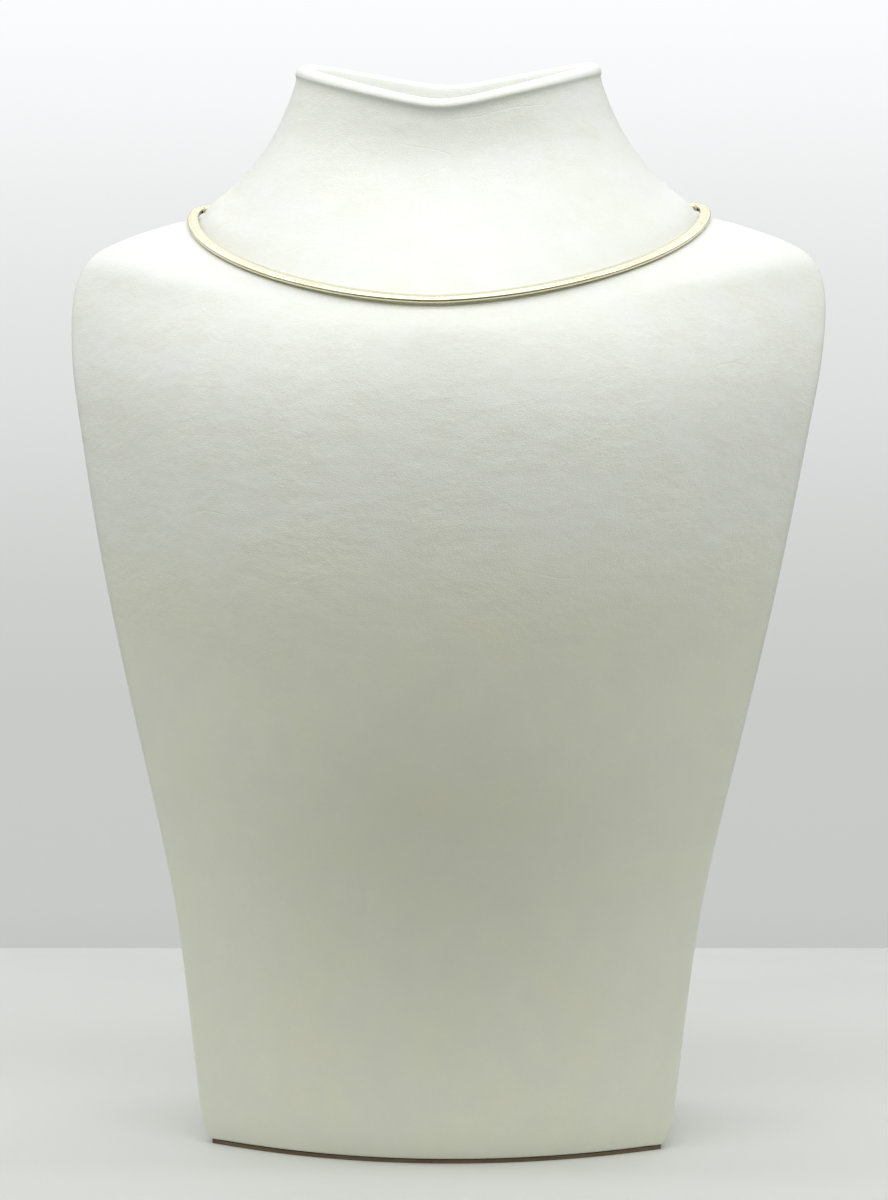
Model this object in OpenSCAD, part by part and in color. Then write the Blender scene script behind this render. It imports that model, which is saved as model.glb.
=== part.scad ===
/* [Choker] */
// Width of the loop, between the middles of the band at its widest
loop_width = 143; // [130:1:156]
// Width of the band, measured in the plane of the loop
band_width = 3; // [2.4:0.1:3.2]
// Thickness of the band, square to the plane of the loop
band_thickness = 1.6; // [1.2:0.1:1.8]
// Forward tilt of the loop, in degrees
loop_tilt = 20.7; // [20:0.1:21.4]

/* [Clasp] */
// Length of the box clasp, along the band
clasp_length = 14; // [10:1:18]
// How much wider than the band the clasp is
clasp_margin = 0.6; // [0.2:0.1:1]
// Thickness of the clasp
clasp_thickness = 2.2; // [2:0.1:2.6]

/* [Bust] */
// Thickness of the rolled wall round the open neck
neck_wall = 5; // [4:0.5:6]
// Depth of the open neck below the highest part of its rim
neck_depth = 45; // [30:1:50]
// Thickness of the board under the bust
board_thickness = 1; // [0.6:0.1:1.1]
// How far the board's edge stands in from the leatherette
board_inset = 0.5; // [0.3:0.1:1.5]
// Gap that each piece keeps from the one that carries it
seat_gap = 0.2; // [0.1:0.05:0.3]

/* [Hidden] */

// The bust's table is written for this width of loop, and scales with it
table_loop_width = 143;
fit = loop_width / table_loop_width;

// The loop in its own plane: reach from its widest points to the front and to the back
front_reach = 0.530 * loop_width;
back_reach = 0.0735 * loop_width;
// Superellipse powers: the front drapes to a soft point, the back runs flat along the bust
drape_power = 1.7;
flat_power = 4.5;
loop_height = 249 * fit;
chain_rings = 76;
clasp_half_angle = asin(pow((clasp_length / 2 + seat_gap) / (loop_width / 2), flat_power / 2));

// Outline of the band: across, outwards positive, and up, as shares of width and thickness
band_outline = [
    [-0.50, -0.20], [-0.43, -0.50], [0.32, -0.50], [0.46, -0.28], [0.50, 0.02],
    [0.46, 0.34], [0.40, 0.50], [-0.43, 0.50], [-0.50, 0.20]
];

// Clasp
clasp_width = band_width + clasp_margin;
clasp_corner = 0.6;
clasp_middle = back_reach + clasp_margin / 2 + seat_gap;
lever_length = 5;
lever_width = 1.6;
lever_rise = 0.35;

// Columns of a row of the section tables. A section is a closed ring round the bust. Its
// front runs between its two side points, where it is widest, and its back closes it.
SIDE_Z = 0;    // height of the side points
FRONT_Z = 1;   // height of the front's middle
BACK_Z = 2;    // height of the back's middle
HALF_W = 3;    // distance of the side points from the middle
EDGE_Y = 4;    // depth of the side points
FRONT_Y = 5;   // depth of the front's middle
BACK_Y = 6;    // depth of the back's middle
ACROSS = 7;    // power of the front curve across: 2 with DEEP 1 is a shallow arc
DEEP = 8;      // power of the front curve in depth: 2 with ACROSS 2 is an ellipse
BOXY = 9;      // power of the back: 2 is an ellipse, 8 nearly a box
NOTCH = 10;    // share of the rim's notch in the height of the front

arc = 1;
oval = 2;
box = 8;
// The rim's notch: how round its lowest point is, and how much deeper it is at the back
notch_softness = 0.15;
back_notch = 2.1;

// The seat of the choker: the ring just under the inner lower edge of the band
seat_reach = front_reach - band_width / 2;
seat_y = -seat_reach * cos(loop_tilt) / fit + 0.45;
seat_z = 248.8 - (seat_reach * sin(loop_tilt) + band_thickness / 2 * cos(loop_tilt)) / fit;
seat_half = (loop_width - band_width) / 2 / fit - 0.4;

bust_sections = [
    // side, front, back z, half w, edge y, front y, back y, across, deep, boxy, notch
    [  1.2,   1.2,   1.2,   59.8,  -59.0,  -79.0,   7.2, oval, arc,  box, 0],
    [  4.5,   4.5,   4.5,   61.3,  -58.9,  -80.2,   7.9, oval, arc,  box, 0],
    [ 12.0,  12.0,  12.0,   62.8,  -58.5,  -81.5,   8.0, oval, arc,  box, 0],
    [ 28.0,  28.0,  28.0,   64.7,  -57.6,  -83.0,   8.0, oval, arc,  box, 0],
    [ 44.0,  44.0,  44.0,   66.7,  -56.4,  -84.5,   8.0, oval, arc,  box, 0],
    [ 58.0,  58.0,  58.0,   68.7,  -55.1,  -86.1,   8.0, oval, arc,  box, 0],
    [ 72.0,  72.0,  72.0,   71.4,  -53.5,  -88.0,   8.0, oval, arc,  box, 0],
    [ 88.0,  88.0,  88.0,   75.1,  -51.5,  -90.2,   8.0, oval, arc,  box, 0],
    [106.0, 106.0, 106.0,   79.6,  -49.0,  -92.2,   8.0, oval, arc,  box, 0],
    [126.0, 126.0, 126.0,   84.5,  -45.8,  -93.1,   8.0, oval, arc,  box, 0],
    [148.0, 147.5, 148.0,   89.6,  -42.3,  -92.7,   8.0, 2.1,  arc,  box, 0],
    [170.0, 168.5, 170.0,   94.4,  -36.5,  -90.9,   8.0, 2.1,  arc,  box, 0],
    [190.0, 186.5, 190.0,   98.6,  -29.2,  -87.8,   8.0, 2.1,  arc,  box, 0],
    [201.5, 196.0, 201.5,  101.1,  -23.8,  -85.4,   8.0, 2.05, arc,  box, 0],
    [210.0, 203.0, 210.0,  102.6,  -18.8,  -83.0,   8.0, oval, arc,  box, 0],
    [221.0, 210.0, 220.0,  103.8,  -12.0,  -79.8,   8.0, 1.9,  arc,    7, 0],
    [229.5, 214.4, 227.0,  103.5,   -6.8,  -77.2,   7.9, 1.8,  1.02,   6, 0],
    [235.5, 217.0, 233.0,  101.4,   -4.0,  -74.9,   7.8, 1.7,  1.1,    5, 0],
    [239.6, 218.8, 238.0,   96.7,   -2.5,  -73.0,   7.7, 1.65, 1.2,    5, 0],
    [243.6, 220.0, 242.5,   87.4,   -1.2,  -71.4,   7.7, 1.65, 1.35,   5, 0],
    [247.8, seat_z - 0.6, 246.5, 74.2,  0, seat_y - 0.5, 7.8, 1.75, 1.65, 5, 0],
    [247.9, seat_z, 249.5, seat_half,    0, seat_y,  7.9, drape_power, drape_power, 4.5, 0],
    [251.6, 227.6, 252.6,   67.3,      0,  -63.9,   8.0, 1.75, 1.75, 4.5, 0],
    [256.2, 236.6, 257.0,   61.2,      0,  -55.0,   8.0, 1.85, 1.85, 4.5, 0.1],
    [262.0, 246.6, 262.5,   55.6,      0,  -46.0,   8.0, 1.95, 1.95, 4.5, 0.2],
    [268.6, 256.0, 268.5,   50.5,      0,  -39.0,   8.0, oval, oval, 4.5, 0.35],
    [275.2, 263.8, 274.2,   46.8,      0,  -35.6,   8.0, oval, oval, 4.5, 0.5],
    [281.2, 269.4, 278.8,   44.2,      0,  -34.7,   8.0, oval, oval, 4.5, 0.6],
    [286.2, 273.4, 281.6,   42.5,      0,  -34.4,   8.0, oval, oval, 4.5, 0.66],
    [287.8, 274.9, 283.0,   42.6,      0,  -35.2,   8.4, oval, oval, 4.5, 0.66]
];

// The rim rolls over in a half circle from the last section to the inner wall
roll_steps = 6;
rim = bust_sections[len(bust_sections) - 1];
roll = neck_wall / 2 / fit;
rim_sections = [
    for (i = [1 : roll_steps])
        let (turn = 180 * i / roll_steps)
        section_in(rim, roll * (1 - cos(turn)), roll * sin(turn))
];
inner_rim = section_in(rim, neck_wall / fit, 0);
floor_z = 290 - neck_depth / fit;
inner_sections = [
    [for (i = [0 : NOTCH]) i <= BACK_Z ? (inner_rim[i] + floor_z) / 2 : inner_rim[i]],
    [for (i = [0 : NOTCH]) i <= BACK_Z ? floor_z : inner_rim[i]]
];

front_points = 40;
back_points = 40;

// Depth of the middle of the whole, which the model is centred on
chest_y = min([for (s = bust_sections) s[FRONT_Y]]) * fit;
clasp_y = (clasp_middle + clasp_width / 2) * cos(loop_tilt)
    + clasp_thickness / 2 * sin(loop_tilt);
middle_y = (chest_y + clasp_y) / 2;

// A section drawn in by a distance all round and raised
function section_in(s, inwards, up) = [
    s[SIDE_Z] + up, s[FRONT_Z] + up, s[BACK_Z] + up, s[HALF_W] - inwards, s[EDGE_Y],
    s[FRONT_Y] + inwards, s[BACK_Y] - inwards, s[ACROSS], s[DEEP], s[BOXY], s[NOTCH]
];

function signed_power(v, p) = sign(v) * pow(abs(v), 2 / p);

// A straight-sided notch with a round bottom: 1 in the middle, 0 at either side
function notch_depth(across) =
    1 - (norm([across, notch_softness]) - notch_softness)
        / (norm([1, notch_softness]) - notch_softness);

function front_point(s, turn) =
    let (
        // A shallow arc takes its points evenly across, an oval evenly round
        even = max(0, min(1, oval - s[DEEP])),
        across = even * turn / 90 + (1 - even) * signed_power(sin(turn), s[ACROSS]),
        deep = pow(1 - pow(abs(across), s[ACROSS]), 1 / s[DEEP]),
        drop = (1 - s[NOTCH]) * deep + s[NOTCH] * notch_depth(across)
    )
    fit * [
        s[HALF_W] * across,
        s[EDGE_Y] + (s[FRONT_Y] - s[EDGE_Y]) * deep,
        s[SIDE_Z] + (s[FRONT_Z] - s[SIDE_Z]) * drop
    ];

function back_point(s, turn) =
    let (
        size = pow(pow(abs(sin(turn)), s[BOXY]) + pow(cos(turn), s[BOXY]), -1 / s[BOXY]),
        across = size * sin(turn),
        deep = size * cos(turn),
        share = back_notch * s[NOTCH],
        drop = (1 - share) * deep + share * notch_depth(across)
    )
    fit * [
        s[HALF_W] * across,
        s[EDGE_Y] + (s[BACK_Y] - s[EDGE_Y]) * deep,
        s[SIDE_Z] + (s[BACK_Z] - s[SIDE_Z]) * drop
    ];

function ring(s) = concat(
    [for (i = [0 : front_points - 1]) front_point(s, -90 + 180 * i / front_points)],
    [for (i = [0 : back_points - 1]) back_point(s, 90 - 180 * i / back_points)]
);

// A point of the loop in its own plane: 0 is the front, 180 the back
function loop_point(turn) =
    let (
        power = cos(turn) > 0 ? drape_power : flat_power,
        reach = cos(turn) > 0 ? front_reach : back_reach
    )
    [
        loop_width / 2 * signed_power(sin(turn), power),
        -reach * signed_power(cos(turn), power)
    ];

function outwards(turn) =
    let (
        step = 0.5,
        along = loop_point(turn + step) - loop_point(turn - step),
        size = norm(along)
    )
    [along.y / size, -along.x / size];

function band_ring(turn) =
    let (middle = loop_point(turn), out = outwards(turn))
    [for (p = band_outline)
        [
            middle.x + out.x * p.x * band_width,
            middle.y + out.y * p.x * band_width,
            p.y * band_thickness
        ]
    ];

function middle_of(points) = [for (axis = [0 : 2]) sum([for (p = points) p[axis]]) / len(points)];

function sum(values) = values * [for (v = values) 1];

// A closed solid through rings of the same number of points, its two ends closed by fans
module loft(rings) {
    count = len(rings[0]);
    last = len(rings) - 1;
    first_middle = count * len(rings);
    points = concat(
        [for (r = rings) each r],
        [middle_of(rings[0]), middle_of(rings[last])]
    );
    sides = [
        for (k = [0 : last - 1])
            for (i = [0 : count - 1])
                let (a = k * count + i, b = k * count + (i + 1) % count)
                    each [[a, b + count, b], [a, a + count, b + count]]
    ];
    ends = [
        for (i = [0 : count - 1])
            let (next = (i + 1) % count)
                each [
                    [first_middle, i, next],
                    [first_middle + 1, last * count + next, last * count + i]
                ]
    ];
    polyhedron(points = points, faces = concat(sides, ends), convexity = 8);
}

// Moves a piece from the neck's middle to the middle of the whole
module centred() {
    translate([0, -middle_y, 0]) children();
}

// Lays a piece in the tilted plane of the loop
module in_loop_plane() {
    centred() translate([0, 0, loop_height]) rotate([loop_tilt, 0, 0]) children();
}

// The leatherette bust, with its neck open at the top
module neck_bust() {
    color("whitesmoke")
        centred()
            loft([for (s = concat(bust_sections, rim_sections, inner_sections)) ring(s)]);
}

// The board under the bust, a little smaller than the leatherette above it
module base_board() {
    outline = ring(section_in(bust_sections[0], board_inset, 0));
    color("peru")
        centred()
            linear_extrude(height = board_thickness)
                polygon([for (p = outline) [p.x, p.y]]);
}

// The chain, from one end of the clasp round the neck to the other
module snake_chain() {
    sweep = 360 - 2 * clasp_half_angle;
    color("palegoldenrod")
        in_loop_plane()
            loft([
                for (i = [0 : chain_rings - 1])
                    band_ring(sweep * (0.5 - i / (chain_rings - 1)))
            ]);
}

// Flat plate with round corners
module rounded_plate(length, width, corner, height) {
    linear_extrude(height = height, center = true)
        union() {
            square([length - 2 * corner, width], center = true);
            square([length, width - 2 * corner], center = true);
            for (x = [-1, 1], y = [-1, 1])
                translate([x * (length / 2 - corner), y * (width / 2 - corner)])
                    circle(r = corner, $fn = 24);
        }
}

// The box clasp, with a low thumb lever on its outer side
module clasp() {
    color("goldenrod")
        in_loop_plane()
            translate([0, clasp_middle, 0])
                union() {
                    rounded_plate(clasp_length, clasp_width, clasp_corner, clasp_thickness);
                    translate([0, 0, clasp_thickness / 2])
                        rounded_plate(lever_length, lever_width, lever_width / 2 - 0.05,
                                      2 * lever_rise);
                }
}

neck_bust();
base_board();
snake_chain();
clasp();
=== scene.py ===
# A flat snake chain choker on its leatherette neck bust. Metres, +Z up, the front faces -Y.

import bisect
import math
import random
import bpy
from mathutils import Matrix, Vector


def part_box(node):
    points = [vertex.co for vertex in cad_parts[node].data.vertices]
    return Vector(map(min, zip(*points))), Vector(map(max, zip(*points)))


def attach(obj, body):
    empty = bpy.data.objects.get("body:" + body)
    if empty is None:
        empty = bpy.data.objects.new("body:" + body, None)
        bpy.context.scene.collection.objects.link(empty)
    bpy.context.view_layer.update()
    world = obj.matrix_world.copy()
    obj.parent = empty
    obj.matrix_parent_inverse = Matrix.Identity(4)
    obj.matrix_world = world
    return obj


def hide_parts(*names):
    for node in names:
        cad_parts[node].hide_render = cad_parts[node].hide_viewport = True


bl_info = {
    "name": "Snake Chain Choker",
    "version": (1, 0, 0),
    "blender": (4, 5, 0),
    "location": "View3D > Sidebar > Choker",
    "description": "Makes a flat snake chain, its box clasp and the neck bust that it lies on",
    "category": "Add Mesh",
}

import bmesh
import bpy
from bpy.props import FloatProperty, FloatVectorProperty, IntProperty, PointerProperty
from mathutils import Matrix, Vector

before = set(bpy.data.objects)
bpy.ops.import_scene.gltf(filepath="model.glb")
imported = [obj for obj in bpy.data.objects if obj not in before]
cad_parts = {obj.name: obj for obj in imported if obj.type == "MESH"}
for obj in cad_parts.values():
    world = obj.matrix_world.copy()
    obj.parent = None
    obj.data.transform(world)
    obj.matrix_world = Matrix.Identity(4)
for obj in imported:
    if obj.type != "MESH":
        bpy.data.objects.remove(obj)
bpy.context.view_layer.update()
chain_low, chain_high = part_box("snake_chain")
clasp_low, clasp_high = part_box("clasp")

MM = 0.001

# The photograph's frame, in pixels, and the sensor's long side in millimetres
PHOTO_HEIGHT = 1200
SENSOR = 36


# Sizes and colours that a user would change


class ChokerChain(bpy.types.PropertyGroup):
    """Sizes and metal of the chain"""

    band_width: FloatProperty(
        name="Band Width", description="Width of the band, in the plane of the loop",
        default=3.0 * MM, min=2.0 * MM, max=5.0 * MM, unit="LENGTH",
    )
    band_thickness: FloatProperty(
        name="Band Thickness", description="Thickness of the band, square to the loop",
        default=1.6 * MM, min=1.0 * MM, max=2.5 * MM, unit="LENGTH",
    )
    link_pitch: FloatProperty(
        name="Link Pitch", description="Distance from one link of the chain to the next",
        default=1.36 * MM, min=0.8 * MM, max=3.0 * MM, unit="LENGTH",
    )
    loop_tilt: FloatProperty(
        name="Loop Tilt", description="How far the loop leans forward and down",
        default=math.radians(20.7), subtype="ANGLE", unit="ROTATION",
    )
    metal: FloatVectorProperty(
        name="Metal", description="Colour of the polished pale gold",
        default=(0.87, 0.83, 0.63), min=0, max=1, subtype="COLOR",
    )


class ChokerClasp(bpy.types.PropertyGroup):
    """Sizes of the box clasp"""

    length: FloatProperty(
        name="Length", description="Length of the clasp along the band",
        default=14.0 * MM, min=8.0 * MM, max=20.0 * MM, unit="LENGTH",
    )
    thickness: FloatProperty(
        name="Thickness", description="Thickness of the clasp without its lever",
        default=2.2 * MM, min=1.5 * MM, max=3.0 * MM, unit="LENGTH",
    )
    edge: FloatProperty(
        name="Edge", description="Radius of the clasp's softened edges",
        default=0.3 * MM, min=0.1 * MM, max=0.6 * MM, unit="LENGTH",
    )


class ChokerBust(bpy.types.PropertyGroup):
    """Covering and base of the neck bust"""

    hem: FloatProperty(
        name="Hem", description="Width of the leatherette that is turned under the base",
        default=4.0 * MM, min=1.0 * MM, max=10.0 * MM, unit="LENGTH",
    )
    grain_size: FloatProperty(
        name="Grain Size", description="Size of one pebble of the leatherette's grain",
        default=0.55 * MM, min=0.2 * MM, max=3.0 * MM, unit="LENGTH",
    )
    leatherette: FloatVectorProperty(
        name="Leatherette", description="Colour of the covering",
        default=(0.80, 0.815, 0.79), min=0, max=1, subtype="COLOR",
    )
    board: FloatVectorProperty(
        name="Board", description="Colour of the board under the bust",
        default=(0.15, 0.115, 0.075), min=0, max=1, subtype="COLOR",
    )


class ChokerStage(bpy.types.PropertyGroup):
    """Camera, floor and light"""

    azimuth: FloatProperty(
        name="Camera Azimuth", description="How far the camera stands round to the right",
        default=math.radians(3.3), subtype="ANGLE", unit="ROTATION",
    )
    distance: FloatProperty(
        name="Camera Distance", description="Level distance from the camera to the neck",
        default=0.850, min=0.3, max=3, unit="LENGTH",
    )
    height: FloatProperty(
        name="Camera Height", description="Height of the camera above the floor",
        default=0.1858, min=0, max=1, unit="LENGTH",
    )
    focal_pixels: IntProperty(
        name="Focal Length", description="Focal length in pixels of the photograph",
        default=3029, min=500, max=9000,
    )
    floor: FloatVectorProperty(
        name="Floor", description="Colour of the floor",
        default=(0.74, 0.75, 0.735), min=0, max=1, subtype="COLOR",
    )
    light: FloatProperty(
        name="Light", description="Strength of the soft lights, 1 as in the photograph",
        default=1.0, min=0, max=10, subtype="FACTOR",
    )


# Building meshes


def new_mesh(bm, name):
    """Turns a finished bmesh into a mesh"""
    mesh = bpy.data.meshes.new(name)
    bm.to_mesh(mesh)
    bm.free()
    return mesh


def new_object(name, data):
    """Puts an object in the scene, at the origin"""
    made = bpy.data.objects.new(name, data)
    bpy.context.scene.collection.objects.link(made)
    return made


def add_piece(bm, name, material, replaces):
    """Makes a finished object at the origin, fastens it to the part and gives it its finish"""
    mesh = new_mesh(bm, name)
    piece = new_object(name, mesh)
    mesh.materials.append(material)
    for face in mesh.polygons:
        face.use_smooth = True
    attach(piece, "root")
    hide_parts(*replaces)
    return piece


# The chain's loop

# How round the loop is: a superellipse that drapes in front and runs flat along the back
DRAPE_POWER = 1.7
FLAT_POWER = 4.5
FRONT_SHARE = 0.530
BACK_SHARE = 0.0735
LOOP_SAMPLES = 8000
# The loop's direction at a point is taken over this many samples either side of it
DIRECTION_SAMPLES = 12
SEAT_GAP = 0.2 * MM
CLASP_MARGIN = 0.6 * MM


class Loop:
    """The middle line of the band, by the length along it from one end of the clasp"""

    def __init__(self, chain, clasp):
        self.width = round(chain_high.x - chain_low.x - chain.band_width, 3)
        self.tilt = chain.loop_tilt
        self.reach_back = BACK_SHARE * self.width
        # The middle of the clasp lies this far behind the middle of the loop
        self.behind = self.reach_back + CLASP_MARGIN / 2 + SEAT_GAP
        half_gap = (clasp.length / 2 + SEAT_GAP) / (self.width / 2)
        end = math.pi - math.asin(half_gap ** (FLAT_POWER / 2))
        turns = [end * (1 - 2 * i / LOOP_SAMPLES) for i in range(LOOP_SAMPLES + 1)]
        self.points = [self.flat_point(turn) for turn in turns]
        self.lengths = [0.0]
        for a, b in zip(self.points, self.points[1:]):
            self.lengths.append(self.lengths[-1] + (b - a).length)
        self.length = self.lengths[-1]
        self.set_height()

    def flat_point(self, turn):
        """A point in the loop's own plane: turn 0 is the front, half a turn the back"""
        front = math.cos(turn) > 0
        power = DRAPE_POWER if front else FLAT_POWER
        reach = FRONT_SHARE * self.width if front else self.reach_back
        across = math.copysign(abs(math.sin(turn)) ** (2 / power), math.sin(turn))
        deep = math.copysign(abs(math.cos(turn)) ** (2 / power), math.cos(turn))
        return Vector((self.width / 2 * across, -reach * deep))

    def set_height(self):
        """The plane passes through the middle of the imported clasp"""
        middle = (clasp_low + clasp_high) / 2
        self.origin = Vector((
            0,
            middle.y - self.behind * math.cos(self.tilt),
            middle.z - self.behind * math.sin(self.tilt),
        ))

    def in_place(self, across, back, up):
        """A point of the loop's plane, in the part's frame"""
        return self.origin + Matrix.Rotation(self.tilt, 3, "X") @ Vector((across, back, up))

    def on_band(self, along, out, up):
        """The point at a length along the loop, moved outwards and up from the middle line"""
        at = min(max(bisect.bisect(self.lengths, along) - 1, 0), LOOP_SAMPLES - 1)
        share = (along - self.lengths[at]) / (self.lengths[at + 1] - self.lengths[at])
        middle = self.points[at].lerp(self.points[at + 1], share)
        near = max(at - DIRECTION_SAMPLES, 0)
        far = min(at + 1 + DIRECTION_SAMPLES, LOOP_SAMPLES)
        ahead = (self.points[far] - self.points[near]).normalized()
        outward = Vector((-ahead.y, ahead.x))
        middle += outward * out
        return self.in_place(middle.x, middle.y, up)


# The outline of a link, as shares of the band's width and thickness: outwards, then up.
# The step above the sloping outer face is the fine dark line that runs along the chain.
LINK_OUTLINE = (
    (-0.50, 0.00), (-0.48, -0.32), (-0.42, -0.47), (-0.30, -0.50),
    (0.00, -0.50), (0.30, -0.50), (0.44, -0.44), (0.49, -0.22),
    (0.50, 0.00), (0.475, 0.14), (0.405, 0.26), (0.30, 0.37),
    (0.245, 0.375), (0.25, 0.47), (0.215, 0.50), (0.00, 0.50),
    (-0.30, 0.50), (-0.42, 0.47), (-0.48, 0.32),
)
# Where a link has its rings, as shares of the pitch, and how far each is drawn in
LINK_STATIONS = ((-0.56, 0.07 * MM), (-0.45, 0.0), (0.45, 0.0), (0.56, 0.07 * MM))
# How far the middle of a link runs ahead of its sides, as a share of the pitch
LINK_CHEVRON = 0.28
# Starts the draw of each link's own shade
LINK_SEED = 38


def set_link_ring(verts, chain, pitch, station):
    """Puts the points of one ring on the link's outline"""
    place, inset = station
    for vert, (out, up) in zip(verts, LINK_OUTLINE):
        vert.co = (
            pitch * (place + LINK_CHEVRON * (1 - 2 * abs(out))),
            out * (chain.band_width - 2 * inset),
            up * (chain.band_thickness - 2 * inset),
        )


def link_mesh(chain, pitch):
    """One link, a closed plate that lies across the X axis"""
    bm = bmesh.new()
    bmesh.ops.create_circle(bm, cap_ends=True, radius=MM, segments=len(LINK_OUTLINE))
    cap = bm.faces[:]
    set_link_ring(cap[0].verts[:], chain, pitch, LINK_STATIONS[0])
    for station in LINK_STATIONS[1:]:
        grown = bmesh.ops.extrude_face_region(bm, geom=cap)["geom"]
        cap = [item for item in grown if isinstance(item, bmesh.types.BMFace)]
        set_link_ring(cap[0].verts[:], chain, pitch, station)
    for edge in bm.edges:
        edge.smooth = all(len(face.verts) == 4 for face in edge.link_faces)
    # Growing the plate leaves a cap inside at each ring
    inner = [f for f in bm.faces if all(len(e.link_faces) > 2 for e in f.edges)]
    bmesh.ops.delete(bm, geom=inner, context="FACES_ONLY")
    bmesh.ops.recalc_face_normals(bm, faces=bm.faces)
    return new_mesh(bm, "link")


class CHOKER_OT_make_chain(bpy.types.Operator):
    """Makes the flat snake chain, link by link, round its loop"""

    bl_idname = "choker.make_chain"
    bl_label = "Make Chain"

    def execute(self, context):
        chain = context.scene.choker_chain
        loop = Loop(chain, context.scene.choker_clasp)
        count = round(loop.length / chain.link_pitch)
        pitch = loop.length / (count + 2 * LINK_STATIONS[-1][0] - 1 + LINK_CHEVRON)
        link = link_mesh(chain, pitch)
        bm = bmesh.new()
        shade = bm.verts.layers.float.new("link_shade")
        draw = random.Random(LINK_SEED)
        for i in range(count):
            first = len(bm.verts)
            bm.from_mesh(link)
            bm.verts.ensure_lookup_table()
            tone = draw.random()
            start = pitch * (i - LINK_STATIONS[0][0])
            for vert in bm.verts[first:]:
                vert[shade] = tone
                vert.co = loop.on_band(start + vert.co.x, vert.co.y, vert.co.z)
        bpy.data.meshes.remove(link)
        add_piece(bm, "snake_chain_links", gold("pale gold chain", chain.metal),
                  replaces=("snake_chain",))
        return {"FINISHED"}


# The clasp

CLASP_CORNER = 0.6 * MM
LEVER_LENGTH = 5.0 * MM
LEVER_WIDTH = 1.6 * MM
LEVER_RISE = 0.35 * MM
# The straight part that is left between the round corners of the lever's ends
LEVER_FLAT = 0.1 * MM
CORNER_STEPS = 6
EDGE_STEPS = 3
# Where the tongue's head meets the box, from the clasp's middle, and the joint line's size
PARTING_PLACE = 3.6 * MM
PARTING_WIDTH = 0.22 * MM
PARTING_SHARE = 0.93
# A point this near to a cut counts as on it
CUT_WELD = 1e-7


def rounded_box(bm, size, place, corner, edge):
    """A box with round upright corners and softened edges"""
    bmesh.ops.create_cube(bm, size=1)
    bmesh.ops.scale(bm, vec=size, verts=bm.verts)
    bmesh.ops.translate(bm, vec=place, verts=bm.verts)
    upright = [
        e for e in bm.edges if abs(e.verts[0].co.z - e.verts[1].co.z) > size[2] / 2
    ]
    bmesh.ops.bevel(bm, geom=upright, offset=corner, segments=CORNER_STEPS, profile=0.5,
                    affect="EDGES", material=-1)
    # Only the top and the bottom have more than four sides now
    rims = [e for e in bm.edges if any(len(f.verts) > 4 for f in e.link_faces)]
    bmesh.ops.bevel(bm, geom=rims, offset=edge, segments=EDGE_STEPS, profile=0.5,
                    affect="EDGES", material=-1)


def cut_joint_line(bm):
    """A fine groove round the box where its tongue's head meets it"""
    for steps in (-1, -0.5, 0.5, 1):
        bmesh.ops.bisect_plane(
            bm, geom=bm.verts[:] + bm.edges[:] + bm.faces[:],
            plane_co=(PARTING_PLACE + steps * PARTING_WIDTH, 0, 0), plane_no=(1, 0, 0),
            dist=CUT_WELD)
    # The two cuts in the middle are the bottom of the groove
    inside = [v for v in bm.verts if abs(v.co.x - PARTING_PLACE) < 0.6 * PARTING_WIDTH]
    bmesh.ops.scale(bm, vec=(1, PARTING_SHARE, PARTING_SHARE), verts=inside)


class CHOKER_OT_make_clasp(bpy.types.Operator):
    """Makes the box clasp at the back, with its joint line and its low thumb lever"""

    bl_idname = "choker.make_clasp"
    bl_label = "Make Clasp"

    def execute(self, context):
        chain = context.scene.choker_chain
        clasp = context.scene.choker_clasp
        loop = Loop(chain, clasp)
        width = chain.band_width + CLASP_MARGIN
        bm = bmesh.new()
        rounded_box(bm, (clasp.length, width, clasp.thickness), (0, 0, 0),
                    CLASP_CORNER, clasp.edge)
        cut_joint_line(bm)
        lever = bmesh.new()
        rounded_box(lever, (LEVER_LENGTH, LEVER_WIDTH, 2 * LEVER_RISE),
                    (0, 0, clasp.thickness / 2), (LEVER_WIDTH - LEVER_FLAT) / 2,
                    LEVER_RISE / 2)
        lever_mesh = new_mesh(lever, "lever")
        bm.from_mesh(lever_mesh)
        bpy.data.meshes.remove(lever_mesh)
        for vert in bm.verts:
            vert.co = loop.in_place(vert.co.x, loop.behind + vert.co.y, vert.co.z)
        bmesh.ops.recalc_face_normals(bm, faces=bm.faces)
        piece = add_piece(bm, "box_clasp", gold("pale gold clasp", chain.metal),
                          replaces=("clasp",))
        sharpen(piece)
        return {"FINISHED"}


def sharpen(piece):
    """Keeps flat faces flat where rounded edges meet them"""
    finish = piece.modifiers.new("Flat faces", "WEIGHTED_NORMAL")
    finish.keep_sharp = True


# The bust

MERGE = 0.002 * MM
# The CAD closes the bust's two ends with fans: their middle points have more edges than this
FAN_EDGES = 20
SMOOTH_LEVELS = 2
HOLD_PASSES = 3
# How far a point may move from its place, as a factor on the way to its nearest neighbour:
# with more, the crowded points at the sides of the neck would fold over
HOLD_REACH = 1.6
HEM_EDGE = 0.6 * MM
HEM_STEPS = 3


def take_out_diagonals(bm, base):
    """Joins the triangles of the walls into four-sided panels, ring by ring from the base"""
    ring = [loop.vert for loop in reversed(base.loops)]
    seen = set(ring)
    diagonals = []
    while ring:
        upper = []
        for a, b in zip(ring, ring[1:] + ring[:1]):
            above = {e.other_vert(a) for e in a.link_edges}
            above &= {e.other_vert(b) for e in b.link_edges}
            for apex in above - seen:
                upper.append(apex)
                diagonals.append(bm.edges.get((a, apex)))
        seen.update(upper)
        ring = upper
    bmesh.ops.dissolve_edges(bm, edges=diagonals)


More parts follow.
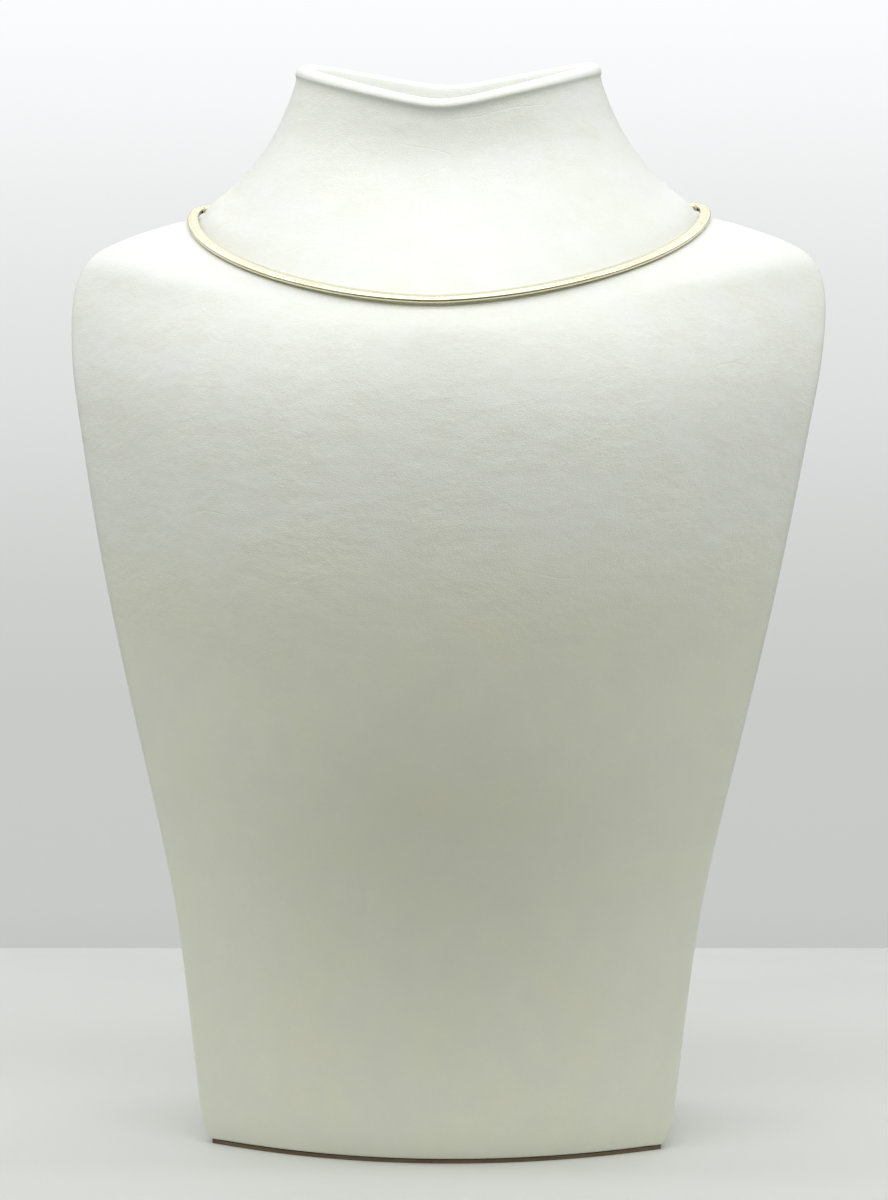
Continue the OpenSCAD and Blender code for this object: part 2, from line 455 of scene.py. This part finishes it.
def hold_size(piece):
    """Moves the coarse points so that the smoothed surface passes where they were"""
    mesh = piece.data
    wanted = [v.co.copy() for v in mesh.vertices]
    # A metre at first: every point has a nearer neighbour
    reach = [1.0] * len(wanted)
    for a, b in (edge.vertices for edge in mesh.edges):
        near = HOLD_REACH * (wanted[a] - wanted[b]).length
        reach[a] = min(reach[a], near)
        reach[b] = min(reach[b], near)
    for _ in range(HOLD_PASSES):
        view = bpy.context.evaluated_depsgraph_get()
        smooth = piece.evaluated_get(view)
        made = smooth.to_mesh()
        moves = [want - made.vertices[i].co for i, want in enumerate(wanted)]
        smooth.to_mesh_clear()
        for vert, want, move, most in zip(mesh.vertices, wanted, moves, reach):
            away = vert.co + move - want
            vert.co = want + away * (most / max(away.length, most))
        mesh.update()


class CHOKER_OT_cover_bust(bpy.types.Operator):
    """Covers the bust with smooth leatherette, turned under at the base"""

    bl_idname = "choker.cover_bust"
    bl_label = "Cover Bust"

    def execute(self, context):
        bust = context.scene.choker_bust
        bm = bmesh.new()
        bm.from_mesh(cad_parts["neck_bust"].data)
        bmesh.ops.remove_doubles(bm, verts=bm.verts, dist=MERGE)
        hubs = [v for v in bm.verts if len(v.link_edges) > FAN_EDGES]
        bmesh.ops.dissolve_verts(bm, verts=hubs)
        ends = [f for f in bm.faces if len(f.verts) > 4]
        if len(ends) != 2:
            raise RuntimeError("the bust has no flat base and hollow floor")
        base = min(ends, key=lambda face: face.calc_center_median().z)
        take_out_diagonals(bm, base)
        crease = bm.edges.layers.float.new("crease_edge")
        for end in ends:
            for edge in end.edges:
                edge[crease] = 1.0
        turned = bm.edges.layers.float.new("bevel_weight_edge")
        for edge in base.edges:
            edge[turned] = 1.0
        bmesh.ops.inset_region(bm, faces=[base], thickness=bust.hem, use_even_offset=True)
        # The inner edge of the hem got the weight as well, and stays flat
        for edge in base.edges:
            edge[turned] = 0.0
        piece = add_piece(bm, "bust_leatherette", leatherette(bust),
                          replaces=("neck_bust",))
        smooth = piece.modifiers.new("Smooth", "SUBSURF")
        smooth.levels = SMOOTH_LEVELS
        smooth.render_levels = SMOOTH_LEVELS
        hold_size(piece)
        edge = piece.modifiers.new("Turned edge", "BEVEL")
        edge.limit_method = "WEIGHT"
        edge.width = HEM_EDGE
        edge.segments = HEM_STEPS
        return {"FINISHED"}


class CHOKER_OT_finish_board(bpy.types.Operator):
    """Gives the base board its brown fibreboard"""

    bl_idname = "choker.finish_board"
    bl_label = "Finish Board"

    def execute(self, context):
        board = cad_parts["base_board"]
        board.data.materials.clear()
        board.data.materials.append(fibreboard(context.scene.choker_bust))
        return {"FINISHED"}


# Shader nodes

# The colour sockets of a mix node, whose names other kinds of socket on it have as well
MIX_A, MIX_B, MIX_RESULT = 6, 7, 2
# Between these values lies nearly all of a noise
NOISE_SPREAD = (0.3, 0.7)


def new_material(name):
    """A material with its nodes and its shader"""
    material = bpy.data.materials.new(name)
    material.use_nodes = True
    return material, material.node_tree, material.node_tree.nodes["Principled BSDF"]


def group_tree(name, inputs, outputs):
    """A shader node group with float inputs, apart from Vector, and named outputs"""
    tree = bpy.data.node_groups.new(name, "ShaderNodeTree")
    tree.interface.new_socket("Vector", in_out="INPUT", socket_type="NodeSocketVector")
    for socket, value in inputs.items():
        made = tree.interface.new_socket(socket, in_out="INPUT",
                                         socket_type="NodeSocketFloat")
        made.default_value = value
    for socket in outputs:
        tree.interface.new_socket(socket, in_out="OUTPUT", socket_type="NodeSocketFloat")
    entry = tree.nodes.new("NodeGroupInput")
    leave = tree.nodes.new("NodeGroupOutput")
    return tree, entry, leave


def place_group(tree, group, vector, **values):
    """Places a node group with this material's own values"""
    node = tree.nodes.new("ShaderNodeGroup")
    node.node_tree = group
    tree.links.new(vector, node.inputs["Vector"])
    for name, value in values.items():
        node.inputs[name.replace("_", " ")].default_value = value
    return node


def math_node(tree, operation, a, b=None):
    """The result of an operation on one or two numbers, each a value or a socket"""
    node = tree.nodes.new("ShaderNodeMath")
    node.operation = operation
    for socket, value in zip(node.inputs, (a, b)):
        if value is None:
            continue
        if isinstance(value, (int, float)):
            socket.default_value = value
        else:
            tree.links.new(value, socket)
    return node.outputs[0]


def ranged(tree, value, low, high, to_low=0.0, to_high=1.0, smooth=True):
    """A value carried over from one range to another, and kept inside it"""
    node = tree.nodes.new("ShaderNodeMapRange")
    node.interpolation_type = "SMOOTHSTEP" if smooth else "LINEAR"
    tree.links.new(value, node.inputs["Value"])
    node.inputs["From Min"].default_value = low
    node.inputs["From Max"].default_value = high
    node.inputs["To Min"].default_value = to_low
    node.inputs["To Max"].default_value = to_high
    return node.outputs["Result"]


def mixed(tree, factor, a, b):
    """A colour between two others, each a tuple or a socket"""
    node = tree.nodes.new("ShaderNodeMix")
    node.data_type = "RGBA"
    tree.links.new(factor, node.inputs["Factor"])
    for socket, value in ((node.inputs[MIX_A], a), (node.inputs[MIX_B], b)):
        if isinstance(value, tuple):
            socket.default_value = (*value[:3], 1)
        else:
            tree.links.new(value, socket)
    return node.outputs[MIX_RESULT]


def noise(tree, vector, scale, detail=2.0, roughness=0.5):
    """Cloudy noise, its scale a value or a socket"""
    node = tree.nodes.new("ShaderNodeTexNoise")
    tree.links.new(vector, node.inputs["Vector"])
    if isinstance(scale, (int, float)):
        node.inputs["Scale"].default_value = scale
    else:
        tree.links.new(scale, node.inputs["Scale"])
    node.inputs["Detail"].default_value = detail
    node.inputs["Roughness"].default_value = roughness
    return node


def scaled(tree, vector, scale):
    """Coordinates that stretch a pattern along the axes with a small scale"""
    node = tree.nodes.new("ShaderNodeMapping")
    node.inputs["Scale"].default_value = scale
    tree.links.new(vector, node.inputs["Vector"])
    return node.outputs["Vector"]


def split(tree, vector):
    """The X, Y and Z of a vector"""
    node = tree.nodes.new("ShaderNodeSeparateXYZ")
    tree.links.new(vector, node.inputs[0])
    return node.outputs


def tinted(colour, factor):
    """A colour with each of its parts changed by a factor"""
    return tuple(min(1.0, c * f) for c, f in zip(colour, factor))


def mottle_group():
    """Broad cloudy variation: a soft mask of patches, and a finer speckle"""
    name = "Mottle"
    if name in bpy.data.node_groups:
        return bpy.data.node_groups[name]
    tree, entry, leave = group_tree(name, {"Patch Size": 0.03, "Speckle Size": 0.001},
                                    ("Patches", "Speckle"))
    vector = entry.outputs["Vector"]
    broad = math_node(tree, "DIVIDE", 1.0, entry.outputs["Patch Size"])
    fine = math_node(tree, "DIVIDE", 1.0, entry.outputs["Speckle Size"])
    patches = noise(tree, vector, broad, detail=3.0)
    speckle = noise(tree, vector, fine, detail=2.0, roughness=0.6)
    for kind, name in ((patches, "Patches"), (speckle, "Speckle")):
        mask = ranged(tree, kind.outputs["Fac"], *NOISE_SPREAD)
        tree.links.new(mask, leave.inputs[name])
    return tree


def speckled(tree, mottle, ends):
    """A roughness that goes from one end to the other with the speckle"""
    return ranged(tree, mottle.outputs["Speckle"], 0.0, 1.0, *ends, smooth=False)


def pebble_group():
    """The pebbles of a pressed leather grain: height from valley to crown, and the valleys"""
    name = "Pebble Grain"
    if name in bpy.data.node_groups:
        return bpy.data.node_groups[name]
    tree, entry, leave = group_tree(name, {"Pebble Size": 0.001, "Wander": 0.35},
                                    ("Height", "Valleys"))
    vector = entry.outputs["Vector"]
    scale = math_node(tree, "DIVIDE", 1.0, entry.outputs["Pebble Size"])
    wander = noise(tree, vector, math_node(tree, "MULTIPLY", scale, 0.8), detail=2.0)
    centred = tree.nodes.new("ShaderNodeVectorMath")
    centred.operation = "SUBTRACT"
    tree.links.new(wander.outputs["Color"], centred.inputs[0])
    centred.inputs[1].default_value = (0.5, 0.5, 0.5)
    push = tree.nodes.new("ShaderNodeVectorMath")
    push.operation = "SCALE"
    tree.links.new(centred.outputs[0], push.inputs[0])
    reach = math_node(tree, "MULTIPLY", entry.outputs["Pebble Size"],
                      entry.outputs["Wander"])
    tree.links.new(reach, push.inputs["Scale"])
    bent = tree.nodes.new("ShaderNodeVectorMath")
    bent.operation = "ADD"
    tree.links.new(vector, bent.inputs[0])
    tree.links.new(push.outputs[0], bent.inputs[1])
    cells = tree.nodes.new("ShaderNodeTexVoronoi")
    cells.feature = "DISTANCE_TO_EDGE"
    tree.links.new(bent.outputs[0], cells.inputs["Vector"])
    tree.links.new(scale, cells.inputs["Scale"])
    height = ranged(tree, cells.outputs["Distance"], 0.0, 0.35)
    tree.links.new(height, leave.inputs["Height"])
    tree.links.new(math_node(tree, "SUBTRACT", 1.0, height), leave.inputs["Valleys"])
    return tree


def object_coordinates(tree):
    """The place on the piece in metres, as every finished piece stands at the origin"""
    return tree.nodes.new("ShaderNodeTexCoord").outputs["Object"]


def link_bump(tree, shader, height, distance, strength):
    """Gives the shader a relief from a height"""
    bump = tree.nodes.new("ShaderNodeBump")
    bump.inputs["Distance"].default_value = distance
    bump.inputs["Strength"].default_value = strength
    tree.links.new(height, bump.inputs["Height"])
    tree.links.new(bump.outputs["Normal"], shader.inputs["Normal"])


# Between which heights the leatherette's wrinkles grow, and their share lower down
WRINKLED_FROM = (0.115, 0.165)
LOW_WRINKLES = 0.3
# Between which values of a noise a wrinkled patch begins, and the wrinkles' share outside it
WRINKLED_PATCHES = (0.38, 0.62)
BETWEEN_PATCHES = 0.35
# The same for the patches with creases, and how far from its middle line a crease reaches
CREASED_PATCHES = (0.58, 0.70)
CREASE_REACH = 0.012
# Between which heights the covering turns from a painted warm light low on the chest to a
# cooler white, and the share of that painted warm light lower down
PAINTED_WARM_LIGHT_FADE = (0.135, 0.175)
PAINTED_WARM_LIGHT_LOW = 0.65

# How fine the leatherette's features are, as noise scales per metre. Wrinkles, puckers and
# creases run across, so their noises are stretched by a small scale along an axis.
WRINKLE_STRETCH = (1.0, 1.0, 1.7)
CREASE_STRETCH = (0.4, 0.4, 1.0)
WRINKLE_SCALE = 420.0
WRINKLED_PATCH_SCALE = 45.0
PUCKER_SCALE = 130.0
CREASE_SCALE = 60.0
CREASED_PATCH_SCALE = 32.0
CLOUD_SCALE = 110.0
# How high each stands, as a factor on the relief
GRAIN_HEIGHT = 0.34
WRINKLE_HEIGHT = 1.9
PUCKER_HEIGHT = 2.6
CREASE_HEIGHT = 0.5
RELIEF = 0.11 * MM
RELIEF_STRENGTH = 0.7
# Its tints, as factors on its colour, and how strongly they show
COOL = (0.985, 0.99, 1.035)
WARM = (1.0, 0.995, 0.88)
CLOUD_TINT = (0.93, 0.93, 0.91)
# The speckle darkens at random with this tint, and the grain's valleys take it as painted
# shade
SPECKLE_AND_VALLEY_SHADE_TINT = (0.90, 0.90, 0.88)
WARM_PATCHES = 0.35
CLOUD_SHARE = 0.45
SPECKLE_SHARE = 0.12
# How strongly the painted shade in the grain's valleys shows
PAINTED_VALLEY_SHADE = 0.22
# Its roughness, from one end of the speckle to the other
LEATHERETTE_ROUGHNESS = (0.44, 0.56)


def leatherette(bust):
    """White pressed leatherette: fine pebbles, patches of close wrinkles, a few creases,
    painted shade in the grain's valleys and a painted warm light low on the chest
    """
    material, tree, shader = new_material("white leatherette")
    where = object_coordinates(tree)
    base = tuple(bust.leatherette)
    mottle = place_group(tree, mottle_group(), where, Patch_Size=0.022, Speckle_Size=0.0018)
    grain = place_group(tree, pebble_group(), where, Pebble_Size=bust.grain_size)

    # Close wrinkles that run across, in patches, and most of them high on the chest
    across = scaled(tree, where, WRINKLE_STRETCH)
    wrinkles = noise(tree, across, WRINKLE_SCALE, detail=4.0, roughness=0.62).outputs["Fac"]
    patches = noise(tree, where, WRINKLED_PATCH_SCALE).outputs["Fac"]
    wrinkled = ranged(tree, patches, *WRINKLED_PATCHES, to_low=BETWEEN_PATCHES)
    level = split(tree, where)["Z"]
    high = ranged(tree, level, *WRINKLED_FROM, to_low=LOW_WRINKLES)
    wrinkled = math_node(tree, "MULTIPLY", wrinkled, high)
    puckers = noise(tree, across, PUCKER_SCALE, detail=1.0).outputs["Fac"]

    # Creases: a few short thin valleys that run across
    long_lines = scaled(tree, where, CREASE_STRETCH)
    lines = noise(tree, long_lines, CREASE_SCALE, detail=1.5, roughness=0.4).outputs["Fac"]
    ridge = math_node(tree, "ABSOLUTE", math_node(tree, "SUBTRACT", lines, 0.5))
    crease = ranged(tree, ridge, 0.0, CREASE_REACH, to_low=1.0, to_high=0.0)
    creased = noise(tree, where, CREASED_PATCH_SCALE, detail=1.0).outputs["Fac"]
    few = math_node(tree, "MULTIPLY", ranged(tree, creased, *CREASED_PATCHES), high)
    crease = math_node(tree, "MULTIPLY", crease, few)

    fine = math_node(tree, "MULTIPLY", grain.outputs["Height"], GRAIN_HEIGHT)
    folded = math_node(tree, "MULTIPLY", wrinkles, wrinkled)
    folded = math_node(tree, "MULTIPLY", folded, WRINKLE_HEIGHT)
    puckered = math_node(tree, "MULTIPLY", puckers, high)
    puckered = math_node(tree, "MULTIPLY", puckered, PUCKER_HEIGHT)
    height = math_node(tree, "ADD", math_node(tree, "MULTIPLY", fine, high), folded)
    height = math_node(tree, "ADD", height, puckered)
    sunk = math_node(tree, "MULTIPLY", crease, CREASE_HEIGHT)
    height = math_node(tree, "SUBTRACT", height, sunk)
    link_bump(tree, shader, height, distance=RELIEF, strength=RELIEF_STRENGTH)

    # The lower chest is tinted warmer as a painted warm light; the warm patches are the
    # covering's own tone
    lower = ranged(tree, level, *PAINTED_WARM_LIGHT_FADE, to_low=PAINTED_WARM_LIGHT_LOW, to_high=0.0)
    warm_tone_and_painted_light = math_node(tree, "MULTIPLY", mottle.outputs["Patches"], WARM_PATCHES)
    warm_tone_and_painted_light = math_node(tree, "ADD", warm_tone_and_painted_light, lower)
    colour = mixed(tree, warm_tone_and_painted_light, tinted(base, COOL), tinted(base, WARM))
    cloudy = noise(tree, where, CLOUD_SCALE, detail=3.0).outputs["Fac"]
    clouds = math_node(tree, "MULTIPLY", ranged(tree, cloudy, *NOISE_SPREAD), CLOUD_SHARE)
    colour = mixed(tree, clouds, colour, tinted(base, CLOUD_TINT))
    # Random speckle darkens the covering, and the grain's valleys are darkened as painted
    # shade
    for mask, share in (
        (mottle.outputs["Speckle"], SPECKLE_SHARE),
        (grain.outputs["Valleys"], PAINTED_VALLEY_SHADE),
    ):
        shade = math_node(tree, "MULTIPLY", mask, share)
        colour = mixed(tree, shade, colour, tinted(base, SPECKLE_AND_VALLEY_SHADE_TINT))
    tree.links.new(colour, shader.inputs["Base Color"])
    tree.links.new(speckled(tree, mottle, LEATHERETTE_ROUGHNESS),
                   shader.inputs["Roughness"])
    shader.inputs["Specular IOR Level"].default_value = 0.35
    return material


# Tints of the metal, as factors on its colour: of single links, and of broad patches
LINK_TINT = (0.93, 0.93, 0.90)
PATCH_TINT = (1.02, 0.99, 0.90)
PATCH_SHARE = 0.5
GOLD_ROUGHNESS = (0.15, 0.25)
# How much rougher one link may be than another
LINK_ROUGHNESS = 0.05
WEAR_DEPTH = 0.01 * MM
WEAR_STRENGTH = 0.3


def gold(name, metal):
    """Polished pale gold, a little different on each link, with fine wear"""
    material, tree, shader = new_material(name)
    where = object_coordinates(tree)
    base = tuple(metal)
    mottle = place_group(tree, mottle_group(), where, Patch_Size=0.006,
                         Speckle_Size=0.00035)
    tone = tree.nodes.new("ShaderNodeAttribute")
    tone.attribute_name = "link_shade"
    colour = mixed(tree, tone.outputs["Fac"], base, tinted(base, LINK_TINT))
    patches = math_node(tree, "MULTIPLY", mottle.outputs["Patches"], PATCH_SHARE)
    colour = mixed(tree, patches, colour, tinted(base, PATCH_TINT))
    tree.links.new(colour, shader.inputs["Base Color"])
    shader.inputs["Metallic"].default_value = 1.0
    rougher = math_node(tree, "MULTIPLY", tone.outputs["Fac"], LINK_ROUGHNESS)
    rough = math_node(tree, "ADD", speckled(tree, mottle, GOLD_ROUGHNESS), rougher)
    tree.links.new(rough, shader.inputs["Roughness"])
    link_bump(tree, shader, mottle.outputs["Speckle"], distance=WEAR_DEPTH,
              strength=WEAR_STRENGTH)
    return material


# Tints of the board, as factors on its colour: of darker patches, and of its fibres
DARK_BOARD = (0.75, 0.70, 0.65)
FIBRE_TINT = (1.5, 1.4, 1.3)
FIBRE_SCALE = 1400.0
# Along an axis with a small scale the fibres are long
FIBRE_STRETCH = (0.25, 1.0, 3.0)
FIBRE_SHARE = 0.6
FIBRE_DEPTH = 0.08 * MM
FIBRE_STRENGTH = 0.6
BOARD_ROUGHNESS = (0.75, 0.9)


def fibreboard(bust):
    """Brown pressed board with short fibres"""
    material, tree, shader = new_material("brown fibreboard")
    where = object_coordinates(tree)
    base = tuple(bust.board)
    mottle = place_group(tree, mottle_group(), where, Patch_Size=0.012,
                         Speckle_Size=0.0005)
    long_fibres = scaled(tree, where, FIBRE_STRETCH)
    fibres = noise(tree, long_fibres, FIBRE_SCALE, detail=3.0, roughness=0.65).outputs["Fac"]
    colour = mixed(tree, mottle.outputs["Patches"], base, tinted(base, DARK_BOARD))
    fibrous = math_node(tree, "MULTIPLY", fibres, FIBRE_SHARE)
    colour = mixed(tree, fibrous, colour, tinted(base, FIBRE_TINT))
    tree.links.new(colour, shader.inputs["Base Color"])
    tree.links.new(speckled(tree, mottle, BOARD_ROUGHNESS), shader.inputs["Roughness"])
    link_bump(tree, shader, fibres, distance=FIBRE_DEPTH, strength=FIBRE_STRENGTH)
    return material


# The sheet on the floor is painted a little darker in front than at its far edge: painted
# shade where less light reaches it
FLOOR_PAINTED_FALLOFF = (-0.08, 0.26)
FLOOR_NEAR_PAINTED_SHADE = (0.87, 0.88, 0.87)
FLOOR_FAR_PAINTED_LIGHT = (1.12, 1.12, 1.12)
# Broad faint patches on it
FLOOR_PATCHES = 0.3
FLOOR_SHADE = (0.97, 0.97, 0.96)


def pale_floor(stage):
    """A matt pale sheet, with painted shade that darkens it towards the front"""
    material, tree, shader = new_material("pale floor")
    where = object_coordinates(tree)
    base = tuple(stage.floor)
    mottle = place_group(tree, mottle_group(), where, Patch_Size=0.10, Speckle_Size=0.004)
    # Painted shade: the floor's colour grows darker towards the front
    painted_falloff = ranged(tree, split(tree, where)["Y"], *FLOOR_PAINTED_FALLOFF, smooth=False)
    colour = mixed(tree, painted_falloff, tinted(base, FLOOR_NEAR_PAINTED_SHADE), tinted(base, FLOOR_FAR_PAINTED_LIGHT))
    shade = math_node(tree, "MULTIPLY", mottle.outputs["Patches"], FLOOR_PATCHES)
    colour = mixed(tree, shade, colour, tinted(base, FLOOR_SHADE))
    tree.links.new(colour, shader.inputs["Base Color"])
    shader.inputs["Roughness"].default_value = 0.6
    shader.inputs["Specular IOR Level"].default_value = 0.25
    return material


# The stage

# The camera's distance is taken to the middle of the neck, which is this far back
NECK_DEPTH = 40.36 * MM
CAMERA_PITCH = math.radians(-3)
CAMERA_ASIDE = -1.2 * MM
CLIP = (0.01, 20)
# The floor's far edge lies this far behind the neck, square to the camera's direction
FLOOR_BEHIND = 0.254
FLOOR_WIDTH = 2.4
FLOOR_DEPTH = 0.415

# The backdrop's brightness by elevation in degrees, as display greys: painted light, brighter
# higher up as on a wall lit from above
BACKDROP_PAINTED_LIGHT = ((-9.6, 198), (-8.7, 202), (-4.9, 203), (-3.0, 207), (-1.1, 215), (0.8, 224),
            (2.7, 231), (4.5, 239), (6.4, 248), (8.2, 253))
# Its red and blue as shares of its green: it is a little cooler higher up
BACKDROP_RED = 0.985
BACKDROP_BLUE = 0.97
BLUE_RISE = 0.04
# The room's own light, which the camera doesn't see. In front it comes from low down, and
# weaker from below the floor's level. Behind, it comes from low down, and stronger from
# half way up. The reaches are the parts of directions between which one changes into the
# next: backward for BEHIND_REACH, upward for the others.
ROOM_FRONT = (0.61, 0.62, 0.41)
ROOM_BELOW = (0.1, 0.1, 0.09)
ROOM_BACK = (0.35, 0.35, 0.35)
ROOM_BACK_HIGH = (1.25, 1.25, 1.25)
DARK = (0, 0, 0)
BEHIND_REACH = (-0.3, 0.3)
BELOW_REACH = (-0.62, -0.48)
LEVEL_REACH = (-0.08, 0.0)
FRONT_REACH = (0.25, 0.45)
BACK_REACH = (0.67, 0.87)

# The soft lights: watts, size, place, what it points at
LIGHTS = {
    "rear softbox": (2.0, (1.4, 0.5), (0, 0.30, 0.85), (0, 0.30, 0)),
    "overhead softbox": (1.15, (1.3, 0.05), (0, -0.05, 0.52), (0, -0.05, 0)),
    "front softbox": (3.25, (1.3, 0.3), (0, -0.35, 0.60), (0, -0.10, 0.10)),
}


def display_grey(value):
    """The scene-linear value of a display grey from 0 to 255, by the sRGB curve"""
    share = value / 255
    return share / 12.92 if share <= 0.04045 else ((share + 0.055) / 1.055) ** 2.4


def make_world():
    """A pale backdrop that the camera sees, with painted light that makes it brighter higher
    up, and the room's own light on the object
    """
    world = bpy.data.worlds.new("studio")
    bpy.context.scene.world = world
    world.use_nodes = True
    tree = world.node_tree
    tree.nodes.clear()
    direction = split(tree, tree.nodes.new("ShaderNodeTexCoord").outputs["Generated"])
    up = direction["Z"]
    low = math.sin(math.radians(BACKDROP_PAINTED_LIGHT[0][0]))
    high = math.sin(math.radians(BACKDROP_PAINTED_LIGHT[-1][0]))
    share = ranged(tree, up, low, high, smooth=False)
    ramp = tree.nodes.new("ShaderNodeValToRGB")
    tree.links.new(share, ramp.inputs["Fac"])
    while len(ramp.color_ramp.elements) < len(BACKDROP_PAINTED_LIGHT):
        ramp.color_ramp.elements.new(1.0)
    for element, (elevation, grey) in zip(ramp.color_ramp.elements, BACKDROP_PAINTED_LIGHT):
        element.position = (math.sin(math.radians(elevation)) - low) / (high - low)
        level = display_grey(grey)
        blue = BACKDROP_BLUE + BLUE_RISE * element.position
        element.color = (level * BACKDROP_RED, level, level * blue, 1)
    seen = tree.nodes.new("ShaderNodeBackground")
    tree.links.new(ramp.outputs["Color"], seen.inputs["Color"])
    behind = ranged(tree, direction["Y"], *BEHIND_REACH)
    front = mixed(tree, ranged(tree, up, *FRONT_REACH), ROOM_FRONT, DARK)
    back = mixed(tree, ranged(tree, up, *FRONT_REACH), ROOM_BACK, ROOM_BACK_HIGH)
    back = mixed(tree, ranged(tree, up, *BACK_REACH), back, DARK)
    below = mixed(tree, ranged(tree, up, *BELOW_REACH), DARK, ROOM_BELOW)
    lower = mixed(tree, behind, below, DARK)
    upper = mixed(tree, behind, front, back)
    room = tree.nodes.new("ShaderNodeBackground")
    tree.links.new(mixed(tree, ranged(tree, up, *LEVEL_REACH), lower, upper),
                   room.inputs["Color"])
    rays = tree.nodes.new("ShaderNodeLightPath")
    both = tree.nodes.new("ShaderNodeMixShader")
    tree.links.new(rays.outputs["Is Camera Ray"], both.inputs["Fac"])
    tree.links.new(room.outputs[0], both.inputs[1])
    tree.links.new(seen.outputs[0], both.inputs[2])
    leave = tree.nodes.new("ShaderNodeOutputWorld")
    tree.links.new(both.outputs[0], leave.inputs["Surface"])


def make_camera(stage):
    """The camera stands where the photograph was taken from"""
    data = bpy.data.cameras.new("camera")
    data.sensor_width = SENSOR
    data.lens = SENSOR * stage.focal_pixels / PHOTO_HEIGHT
    data.clip_start, data.clip_end = CLIP
    camera = new_object("camera", data)
    turn = Matrix.Rotation(stage.azimuth, 3, "Z")
    camera.location = Vector((0, NECK_DEPTH, stage.height)) + turn @ Vector(
        (CAMERA_ASIDE, -stage.distance, 0))
    camera.rotation_euler = (math.pi / 2 + CAMERA_PITCH, 0, stage.azimuth)
    bpy.context.scene.camera = camera


def make_floor(stage):
    """A plain sheet that the bust stands on, its far edge square to the camera"""
    bm = bmesh.new()
    bmesh.ops.create_grid(bm, x_segments=1, y_segments=1, size=1)
    bmesh.ops.scale(bm, vec=(FLOOR_WIDTH / 2, FLOOR_DEPTH / 2, 1), verts=bm.verts)
    bmesh.ops.translate(bm, vec=(0, FLOOR_BEHIND - FLOOR_DEPTH / 2, 0), verts=bm.verts)
    bmesh.ops.rotate(bm, cent=(0, 0, 0), matrix=Matrix.Rotation(stage.azimuth, 3, "Z"),
                     verts=bm.verts)
    bmesh.ops.translate(bm, vec=(0, NECK_DEPTH, 0), verts=bm.verts)
    floor = new_object("floor", new_mesh(bm, "floor"))
    floor.data.materials.append(pale_floor(stage))


def make_light(name, watts, size, place, target):
    """A soft rectangular light that points at a target"""
    data = bpy.data.lights.new(name, "AREA")
    data.shape = "RECTANGLE"
    data.size, data.size_y = size
    data.energy = watts
    light = new_object(name, data)
    light.location = place
    light.rotation_euler = (Vector(target) - Vector(place)).to_track_quat("-Z", "Y").to_euler()


class CHOKER_OT_set_stage(bpy.types.Operator):
    """Sets the pale floor, the soft studio light and the camera at the photograph's angle"""

    bl_idname = "choker.set_stage"
    bl_label = "Set Stage"

    def execute(self, context):
        stage = context.scene.choker_stage
        make_camera(stage)
        make_floor(stage)
        make_world()
        for name, (watts, size, place, target) in LIGHTS.items():
            make_light(name, watts * stage.light, size, place, target)
        context.scene.view_settings.view_transform = "Standard"
        return {"FINISHED"}


# The sidebar


class CHOKER_PT_sidebar(bpy.types.Panel):
    """Sizes, colours and steps of the choker on its bust"""

    bl_label = "Snake Chain Choker"
    bl_space_type = "VIEW_3D"
    bl_region_type = "UI"
    bl_category = "Choker"

    def draw(self, context):
        layout = self.layout
        for heading, settings, steps in (
            ("Chain", context.scene.choker_chain, ("make_chain",)),
            ("Clasp", context.scene.choker_clasp, ("make_clasp",)),
            ("Bust", context.scene.choker_bust, ("cover_bust", "finish_board")),
            ("Stage", context.scene.choker_stage, ("set_stage",)),
        ):
            box = layout.box()
            box.label(text=heading)
            for name in settings.__annotations__:
                box.prop(settings, name)
            for step in steps:
                box.operator("choker." + step)


GROUPS = {
    "choker_chain": ChokerChain,
    "choker_clasp": ChokerClasp,
    "choker_bust": ChokerBust,
    "choker_stage": ChokerStage,
}
CLASSES = (
    *GROUPS.values(), CHOKER_OT_make_chain, CHOKER_OT_make_clasp, CHOKER_OT_cover_bust,
    CHOKER_OT_finish_board, CHOKER_OT_set_stage, CHOKER_PT_sidebar,
)


def register():
    for cls in CLASSES:
        bpy.utils.register_class(cls)
    for name, group in GROUPS.items():
        setattr(bpy.types.Scene, name, PointerProperty(type=group))


def unregister():
    for name in GROUPS:
        delattr(bpy.types.Scene, name)
    for cls in reversed(CLASSES):
        bpy.utils.unregister_class(cls)


def main():
    register()
    bpy.ops.choker.cover_bust()
    bpy.ops.choker.finish_board()
    bpy.ops.choker.make_chain()
    bpy.ops.choker.make_clasp()
    bpy.ops.choker.set_stage()


if __name__ == "__main__":
    main()
